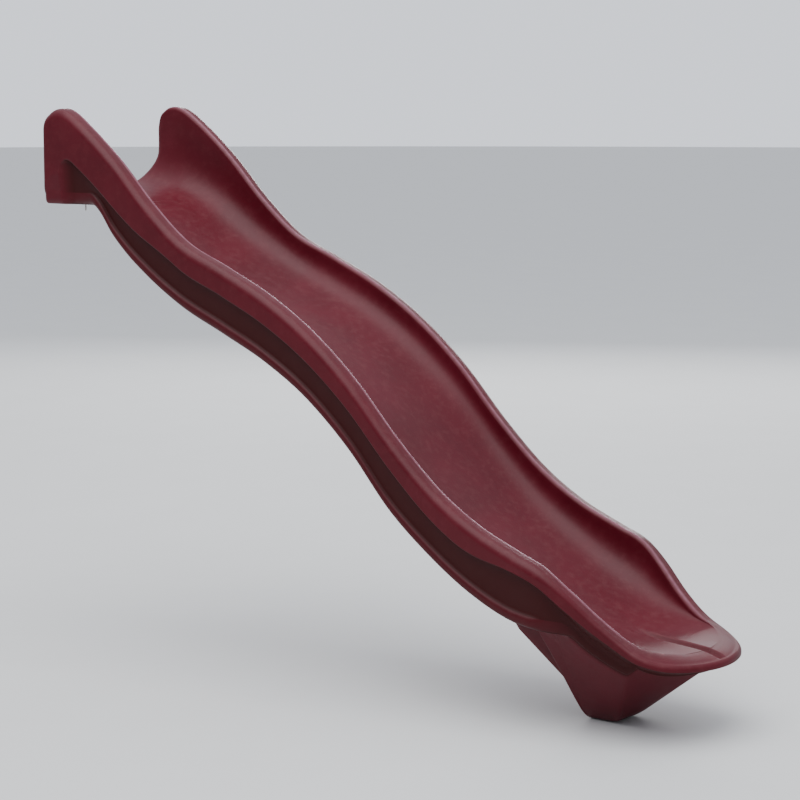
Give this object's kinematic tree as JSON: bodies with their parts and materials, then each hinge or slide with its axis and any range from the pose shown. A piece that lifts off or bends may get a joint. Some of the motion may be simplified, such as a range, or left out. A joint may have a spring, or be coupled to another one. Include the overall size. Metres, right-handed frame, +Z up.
{
  "type": "wave slide",
  "caption": "Burgundy moulded plastic wave slide with side wings at the entry, a double-wave chute with rolled rims, a rounded run-out and a ground foot",
  "frame": {"origin": "on the ground, under the middle of the slide's outer box", "axes": "+X downhill from the deck to the run-out, +Y across the slide, +Z up"},
  "size_m": [2.555, 0.65, 1.8439],
  "materials": {
    "slide_plastic": "satin rotomoulded polyethylene with a fine texture",
    "zinc_steel": "zinc plated",
    "plug_plastic": "moulded"
  },
  "bodies": {
    "root": {"slide_body": "slide_plastic", "deck_screw_left": "zinc_steel", "deck_screw_middle": "zinc_steel", "deck_screw_right": "zinc_steel", "deck_washer_left": "zinc_steel", "deck_washer_middle": "zinc_steel", "deck_washer_right": "zinc_steel", "vent_plug": "plug_plastic"}
  },
  "joints": []
}
